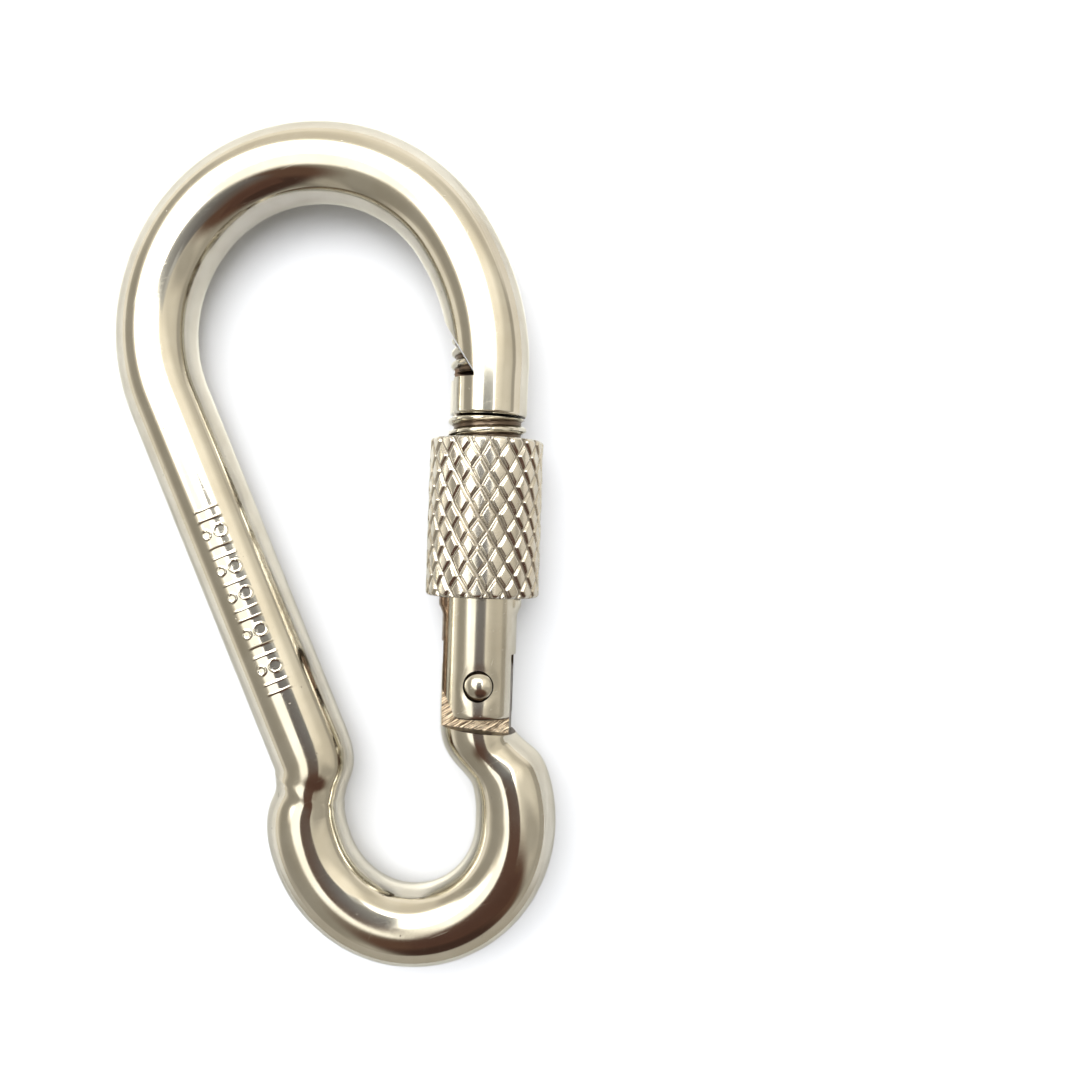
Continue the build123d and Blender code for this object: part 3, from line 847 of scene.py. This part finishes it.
# carried-over CAD nodes keep a finish of their own, in case one is shown
for name, mat in (
    ("hook_body", bar_mat), ("gate", turned_mat), ("lock_sleeve", knurl_mat), ("hinge_rivet", rivet_mat),
    ("spring_plunger", spring_mat), ("return_spring", spring_mat),
):
    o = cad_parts[name]
    o.data.materials.clear()
    o.data.materials.append(mat)

# ----------------------------------------------------------------------------
# floor: the hook lies on its spine and on the sleeve, so the table leans in the row frame
# ----------------------------------------------------------------------------
LEAN = math.atan(0.04863)
UP = Vector((sin(LEAN), 0, cos(LEAN)))
RIGHT = Vector((cos(LEAN), 0, -sin(LEAN)))


def table_z(x):
    return -4.0 - 0.04863 * (x + 19.0)


mid = Vector((0, 0, (table_z(0) - 0.02) * MM))
size = 1.4
me = bpy.data.meshes.new("floor")
ring, verts, faces = 96, [], []
for k, r in enumerate((0.0, 0.15, 0.4, size)):
    for i in range(ring if r else 1):
        a = 2 * pi * i / ring
        verts.append(tuple(mid + RIGHT * (r * cos(a)) + Vector((0, 1, 0)) * (r * sin(a))))
faces += [(0, 1 + i, 1 + (i + 1) % ring) for i in range(ring)]
for k in range(2):
    a, b = 1 + k * ring, 1 + (k + 1) * ring
    faces += [(a + i, b + i, b + (i + 1) % ring, a + (i + 1) % ring) for i in range(ring)]
me.from_pydata(verts, [], faces)
floor = bpy.data.objects.new("floor", me)
bpy.context.scene.collection.objects.link(floor)
fmat = bpy.data.materials.new("pale_table")
fmat.use_nodes = True
N = Nodes(fmat.node_tree)
out = N.add("ShaderNodeOutputMaterial")
bsdf = N.add("ShaderNodeBsdfPrincipled")
N.t.links.new(bsdf.outputs[0], out.inputs[0])
tex = N.add("ShaderNodeTexCoord")
cloud = N.noise(N.vec("SCALE", tex.outputs["Object"], scale=1000.0), 0.02, 3.0)
N.put(bsdf.inputs["Base Color"], N.mix(cloud, (0.86, 0.86, 0.86, 1), (0.88, 0.88, 0.875, 1)))
bsdf.inputs["Roughness"].default_value = 0.9
bsdf.inputs["Specular IOR Level"].default_value = 0.2
me.materials.append(fmat)
floor.visible_glossy = False
# the metal sees the same table through a satin twin: a matt sheet would whiten its edges
twin = bpy.data.objects.new("floor_satin", me.copy())
bpy.context.scene.collection.objects.link(twin)
twin.visible_camera = twin.visible_diffuse = twin.visible_shadow = twin.visible_transmission = False
smat = bpy.data.materials.new("satin_table")
smat.use_nodes = True
N = Nodes(smat.node_tree)
out = N.add("ShaderNodeOutputMaterial")
bsdf = N.add("ShaderNodeBsdfPrincipled")
N.t.links.new(bsdf.outputs[0], out.inputs[0])
tex = N.add("ShaderNodeTexCoord")
cloud = N.noise(N.vec("SCALE", tex.outputs["Object"], scale=1000.0), 0.05, 3.0)
N.put(bsdf.inputs["Base Color"], N.mix(cloud, (0.84, 0.84, 0.835, 1), (0.88, 0.88, 0.87, 1)))
bsdf.inputs["Roughness"].default_value = 0.33
bsdf.inputs["Metallic"].default_value = 0.35
bsdf.inputs["Specular IOR Level"].default_value = 1.0
bsdf.inputs["Emission Color"].default_value = (1, 1, 1, 1)
ax = N.add("ShaderNodeSeparateXYZ")
N.put(ax.inputs[0], N.vec("SCALE", tex.outputs["Object"], scale=1000.0))
# painted light: the satin twin glows a little everywhere, and more in front of the hook and beyond its left and far
# sides, so the polish mirrors a brighter table there
far_glow = N.math("MAXIMUM", N.span(ax.outputs[0], -24.0, -31.0), N.span(ax.outputs[1], 44.0, 52.0))
front = N.span(ax.outputs[1], -44.0, -52.0, 0.12, 0.20)
N.put(bsdf.inputs["Emission Strength"], N.math("ADD", front, N.math("MULTIPLY", far_glow, 0.20)))
twin.data.materials.clear()
twin.data.materials.append(smat)

# ----------------------------------------------------------------------------
# light: a soft room, bright above and behind, darker in front
# ----------------------------------------------------------------------------
world = bpy.data.worlds.new("room")
bpy.context.scene.world = world
world.use_nodes = True
N = Nodes(world.node_tree)
out = N.add("ShaderNodeOutputWorld")
bg = N.add("ShaderNodeBackground")
N.t.links.new(bg.outputs[0], out.inputs[0])
tex = N.add("ShaderNodeTexCoord")
ray = tex.outputs["Generated"]
tx = N.vec("DOT_PRODUCT", ray, tuple(RIGHT))
ty = N.vec("DOT_PRODUCT", ray, (0, 1, 0))
tz = N.vec("DOT_PRODUCT", ray, tuple(UP))
flat = N.math("SQRT", N.math("MAXIMUM", N.math("SUBTRACT", 1.0, N.math("MULTIPLY", tz, tz)), 1e-9))
zen = N.math("MULTIPLY", N.math("ARCCOSINE", N.math("MAXIMUM", N.math("MINIMUM", tz, 1.0), -1.0)), 180 / pi)
ex = N.math("DIVIDE", N.math("MULTIPLY", tx, zen), flat)  # degrees from the zenith, to the right
ey = N.math("DIVIDE", N.math("MULTIPLY", ty, zen), flat)  # and away


def patch(cx, cy, rx, ry, turn, soft, power=2):
    """1 inside an ellipse on the ceiling map and 0 outside, with a soft edge; a higher power squares it up."""
    c, s = cos(radians(turn)), sin(radians(turn))
    dx, dy = N.math("SUBTRACT", ex, cx), N.math("SUBTRACT", ey, cy)
    a = N.math("DIVIDE", N.math("ADD", N.math("MULTIPLY", dx, c), N.math("MULTIPLY", dy, s)), rx)
    b = N.math("DIVIDE", N.math("SUBTRACT", N.math("MULTIPLY", dy, c), N.math("MULTIPLY", dx, s)), ry)
    a, b = (N.math("POWER", N.math("ABSOLUTE", q), float(power)) for q in (a, b))
    d = N.math("POWER", N.math("ADD", a, b), 1.0 / power)
    return N.span(d, 1 - soft, 1 + soft, 1.0, 0.0)


def tint(v, warm=1.0):
    return (1.09 * v, 1.0 * v, (0.835 if warm == 1.0 else warm) * v, 1)


# walls: brighter on the far side, darker near the viewer
far = N.math("ADD", N.math("MULTIPLY", tx, 0.09), N.math("MULTIPLY", ty, 0.996))
room = N.mix(N.span(far, -0.9, 0.95, 0.0, 1.0, False), tint(0.26), tint(0.86))
# the ceiling is lighter on the right, and greyer low on the left
room = N.mix(patch(34, 4, 34, 40, 0, 0.45), room, tint(0.80))
room = N.mix(N.math("MULTIPLY", patch(-60, 2, 18, 34, 0, 0.5), 0.85), room, tint(0.35))
room = N.mix(N.math("MULTIPLY", patch(-60, 50, 22, 12, -35, 0.5), 0.7), room, tint(0.42))
room = N.mix(N.math("MULTIPLY", patch(42, 56, 24, 8, -35, 0.6), 0.5), room, tint(0.55))
room = N.mix(N.math("MULTIPLY", patch(84, 30, 40, 6, 110, 0.6), 0.5), room, tint(0.36))
# the lower left
room = N.mix(N.math("MULTIPLY", patch(-40, -44, 30, 18, -45, 0.5), 0.8), room, tint(0.34))
# window light
room = N.mix(N.math("MULTIPLY", patch(48, -17, 22, 12, -10, 0.5), 0.85), room, tint(0.40))
room = N.mix(N.math("MULTIPLY", patch(4, 82, 56, 13, 0, 0.5), 0.85), room, tint(1.0))
room = N.mix(N.math("MULTIPLY", patch(-84, -26, 14, 30, 0, 0.5), 0.8), room, tint(0.72))
room = N.mix(N.math("MULTIPLY", patch(-40, -78, 44, 10, 32, 0.5), 0.7), room, tint(0.50))
room = N.mix(patch(27, 25, 20, 17, 45, 0.5), room, tint(1.22))
room = N.mix(patch(-12, 17.0, 36.5, 30, 0, 0.16, 3), room, tint(1.35, 1.0))
room = N.mix(patch(-12, 17.0, 32, 25.5, 0, 0.12, 3), room, (5.2, 5.1, 4.85, 1))
room = N.mix(patch(-17, -7, 18, 15, -28, 0.25), room, (1.75, 1.68, 1.50, 1))
# the viewer, low in front, and the hand and camera overhead
room = N.mix(patch(12, -46, 38, 29, -8, 0.22), room, (0.135, 0.074, 0.050, 1))
room = N.mix(patch(8, -65, 26, 17, -4, 0.4), room, (0.066, 0.036, 0.027, 1))
# a pale surround stands up behind and left of the table, about ten degrees high; the right is darker
sy = N.math("DIVIDE", ty, flat)
cx = N.math("DIVIDE", tx, flat)
drop = N.math("MAXIMUM", N.math("MULTIPLY", sy, -1.0), 0.0)
glow = N.math("ADD", N.math("ADD", 0.80, N.math("MULTIPLY", sy, 0.33)), N.math("MULTIPLY", N.math("MAXIMUM", N.math("MULTIPLY", cx, -1.0), 0.0), 0.20))
room = N.mix(N.math("MULTIPLY", N.span(zen, 71.0, 76.0), N.span(cx, 0.70, 0.92, 0.0, 0.9)), room, tint(0.40))
ring_on = N.math("MULTIPLY", N.span(zen, 76.5, 80.5), N.span(drop, 0.35, 0.75, 1.0, 0.0))
ring_on = N.math("MULTIPLY", ring_on, N.span(cx, 0.70, 0.92, 1.0, 0.0))
room = N.mix(ring_on, room, N.vec("SCALE", (1.075, 1.0, 0.87), scale=glow))
# the warm cast is only in what the metal mirrors: the table is lit neutrally
grey = N.add("ShaderNodeRGBToBW")
N.put(grey.inputs[0], room)
plain = N.vec("SCALE", (0.985, 1.0, 1.03), scale=grey.outputs[0])
path = N.add("ShaderNodeLightPath")
N.put(bg.inputs["Color"], N.mix(path.outputs["Is Glossy Ray"], plain, room))
bg.inputs["Strength"].default_value = 1.0

# ----------------------------------------------------------------------------
# a dark card just over the hook, which only the polish mirrors
# ----------------------------------------------------------------------------
FOOT = Vector((20.54, 0.79, 0.0)) + UP * (table_z(20.54) * cos(LEAN))
cmat = bpy.data.materials.new("dark_card")
cmat.use_nodes = True
N = Nodes(cmat.node_tree)
out = N.add("ShaderNodeOutputMaterial")
glow = N.add("ShaderNodeEmission")
clear = N.add("ShaderNodeBsdfTransparent")
both = N.add("ShaderNodeMixShader")
N.t.links.new(clear.outputs[0], both.inputs[1])
N.t.links.new(glow.outputs[0], both.inputs[2])
N.t.links.new(both.outputs[0], out.inputs[0])
tex = N.add("ShaderNodeTexCoord")
xyz = N.add("ShaderNodeSeparateXYZ")
N.put(xyz.inputs[0], N.vec("SCALE", tex.outputs["Object"], scale=1000.0))
cx, cy = xyz.outputs[0], xyz.outputs[1]
ramp = N.add("ShaderNodeValToRGB")
N.put(ramp.inputs[0], N.span(cy, -100.0, 40.0, 0.0, 1.0, False))
stops = [
    (-90, (0.110, 0.056, 0.040)), (-60, (0.130, 0.068, 0.048)), (-42, (0.150, 0.108, 0.090)), (-22, (0.165, 0.145, 0.138)),
    (-6, (0.21, 0.20, 0.195)), (12, (0.30, 0.29, 0.28)), (24, (0.42, 0.41, 0.39)), (34, (0.56, 0.55, 0.52)),
]
el = ramp.color_ramp.elements
while len(el) > 1:
    el.remove(el[-1])
for i, (y, c) in enumerate(stops):
    e = el[0] if i == 0 else el.new((y + 100) / 140)
    e.position = (y + 100) / 140
    e.color = (*c, 1)
shade_c = ramp.outputs[0]
right = N.math("MULTIPLY", N.span(cx, 4.0, 16.0), N.span(cy, 0.0, 12.0))
left = N.math("MULTIPLY", N.span(cx, -22.0, -32.0), N.span(cy, 0.0, 12.0))
shade_c = N.mix(N.math("MAXIMUM", right, left), shade_c, (0.60, 0.59, 0.56, 1))
wide = N.span(cy, -75.0, -115.0)  # the lower end spreads to the right
inner = N.math("MULTIPLY", N.span(cx, -36.0, -30.0), N.span(N.math("SUBTRACT", cx, N.math("MULTIPLY", wide, 62.0)), 24.0, 30.0, 1.0, 0.0))
cover = N.math("MULTIPLY", inner, N.math("MULTIPLY", N.span(cy, 32.0, 38.0, 1.0, 0.0), N.span(cy, -175.0, -150.0)))
N.put(both.inputs[0], cover)
N.put(glow.inputs["Color"], shade_c)
glow.inputs["Strength"].default_value = 1.0
me = bpy.data.meshes.new("overhead_card")
me.from_pydata([(x * MM, y * MM, 0) for x, y in ((-60, -180), (100, -180), (100, 45), (-60, 45))], [], [(0, 1, 2, 3)])
me.materials.append(cmat)
card = bpy.data.objects.new("overhead_card", me)
m = Matrix((RIGHT, Vector((0, 1, 0)), UP)).transposed().to_4x4()
m.translation = (FOOT + UP * 113.0) * MM
card.matrix_world = m
bpy.context.scene.collection.objects.link(card)
card.visible_camera = card.visible_diffuse = card.visible_shadow = card.visible_transmission = False

# ----------------------------------------------------------------------------
# low pale rails in front of the small eye and right of the bow, which only the polish mirrors
# ----------------------------------------------------------------------------
def rail(name, centre, radius, start, sweep, top, colour):
    rmat = bpy.data.materials.new(name + "_glow")
    rmat.use_nodes = True
    N = Nodes(rmat.node_tree)
    out = N.add("ShaderNodeOutputMaterial")
    glow = N.add("ShaderNodeEmission")
    clear = N.add("ShaderNodeBsdfTransparent")
    both = N.add("ShaderNodeMixShader")
    N.t.links.new(clear.outputs[0], both.inputs[1])
    N.t.links.new(glow.outputs[0], both.inputs[2])
    N.t.links.new(both.outputs[0], out.inputs[0])
    uvm = N.add("ShaderNodeUVMap", uv_map="rail")
    xyz = N.add("ShaderNodeSeparateXYZ")
    N.put(xyz.inputs[0], uvm.outputs[0])
    ends = N.math("MULTIPLY", N.span(xyz.outputs[0], 0.0, 0.22), N.span(xyz.outputs[0], 1.0, 0.78))
    N.put(both.inputs[0], N.math("MULTIPLY", ends, N.span(xyz.outputs[1], top, top - 2.0)))
    glow.inputs["Color"].default_value = colour
    glow.inputs["Strength"].default_value = 1.0
    me = bpy.data.meshes.new(name)
    verts, uvs = [], []
    for i in range(49):
        a = radians(start + sweep * i / 48)
        foot = Vector((*centre, 0.0)) + (RIGHT * cos(a) + Vector((0, 1, 0)) * sin(a)) * radius
        foot = foot + UP * (table_z(0) * cos(LEAN) - foot.dot(UP))
        for h in (0.2, top + 0.5):
            verts.append((foot + UP * h) * MM)
            uvs.append((i / 48, h))
    me.from_pydata(verts, [], [(2 * i, 2 * i + 2, 2 * i + 3, 2 * i + 1) for i in range(48)])
    put_uv = me.uv_layers.new(name="rail")
    for loop in me.loops:
        put_uv.data[loop.index].uv = uvs[loop.vertex_index]
    me.materials.append(rmat)
    obj = bpy.data.objects.new(name, me)
    bpy.context.scene.collection.objects.link(obj)
    obj.visible_camera = obj.visible_diffuse = obj.visible_shadow = obj.visible_transmission = False


rail("front_rail", (8.0, -30.0), 29.0, -168, 156, 15.0, (0.52, 0.48, 0.41, 1))
rail("right_rail", (0.0, 20.0), 39.0, -52, 112, 11.6, (0.97, 0.90, 0.79, 1))

# ----------------------------------------------------------------------------
# camera: straight above the table, as far to the right of the hook as the view needs
# ----------------------------------------------------------------------------
LOOK_AT = Vector((20.54, 0.79, 0.0))
height = 112.0 + table_z(LOOK_AT.x) * cos(LEAN)
eye = LOOK_AT + UP * height
TURN = radians(1.89)
across = RIGHT * cos(TURN) + Vector((0, 1, 0)) * sin(TURN)
upward = -RIGHT * sin(TURN) + Vector((0, 1, 0)) * cos(TURN)
cam_data = bpy.data.cameras.new("camera")
cam_data.lens = 35.5
cam_data.sensor_width = 36.0
cam_data.sensor_height = 36.0
cam_data.sensor_fit = "HORIZONTAL"
cam_data.clip_start = 0.004
cam_data.clip_end = 20.0
camera = bpy.data.objects.new("camera", cam_data)
m = Matrix((across, upward, UP)).transposed().to_4x4()
m.translation = eye * MM
camera.matrix_world = m
bpy.context.scene.collection.objects.link(camera)
bpy.context.scene.camera = camera
bpy.context.scene.view_settings.view_transform = "Standard"
bpy.context.scene.view_settings.look = "None"
